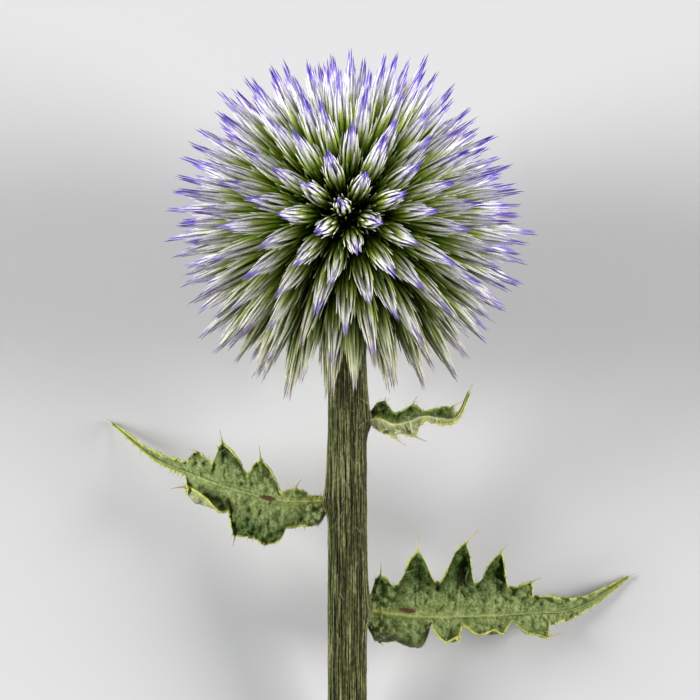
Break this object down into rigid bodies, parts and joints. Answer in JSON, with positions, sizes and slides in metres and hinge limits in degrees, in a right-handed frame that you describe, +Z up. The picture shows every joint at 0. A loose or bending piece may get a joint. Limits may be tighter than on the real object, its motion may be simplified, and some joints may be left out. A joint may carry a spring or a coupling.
{
  "type": "globe thistle flower head",
  "caption": "Globe thistle flower in bud, cut on a ribbed stem with three spiny lobed leaves, lying on a surface.",
  "frame": {"origin": "on the surface that the flower lies on, under the middle of its bounding box", "axes": "+Y from the stem's cut end towards the flower head, +Z up from the surface, +X to the side of the larger leaf"},
  "size_m": [0.073, 0.0997, 0.0505],
  "materials": {
    "stem_green": "matte, finely ribbed green stem",
    "leaf_green": "satin, veined green leaf with a pale margin",
    "bract_violet": "dry, silky bracts, green at the base and violet at the tip"
  },
  "bodies": {
    "root": {"stem": "stem_green", "leaf_left": "leaf_green", "leaf_right_lower": "leaf_green", "leaf_right_upper": "leaf_green", "florets_01": "bract_violet", "florets_02": "bract_violet", "florets_03": "bract_violet", "florets_04": "bract_violet", "florets_05": "bract_violet", "florets_06": "bract_violet", "florets_07": "bract_violet", "florets_08": "bract_violet", "florets_09": "bract_violet", "florets_10": "bract_violet", "florets_11": "bract_violet", "florets_12": "bract_violet", "florets_13": "bract_violet", "florets_14": "bract_violet", "florets_15": "bract_violet", "florets_16": "bract_violet", "florets_17": "bract_violet", "florets_18": "bract_violet", "florets_19": "bract_violet", "florets_20": "bract_violet", "florets_21": "bract_violet", "florets_22": "bract_violet", "florets_23": "bract_violet", "florets_24": "bract_violet", "florets_25": "bract_violet", "florets_26": "bract_violet", "florets_27": "bract_violet", "florets_28": "bract_violet", "florets_29": "bract_violet", "florets_30": "bract_violet", "florets_31": "bract_violet", "florets_32": "bract_violet", "florets_33": "bract_violet", "florets_34": "bract_violet", "florets_35": "bract_violet", "florets_36": "bract_violet", "florets_37": "bract_violet", "florets_38": "bract_violet", "florets_39": "bract_violet", "florets_40": "bract_violet", "florets_41": "bract_violet", "florets_42": "bract_violet", "florets_43": "bract_violet", "florets_44": "bract_violet", "florets_45": "bract_violet", "florets_46": "bract_violet", "florets_47": "bract_violet", "florets_48": "bract_violet", "florets_49": "bract_violet"}
  },
  "joints": []
}
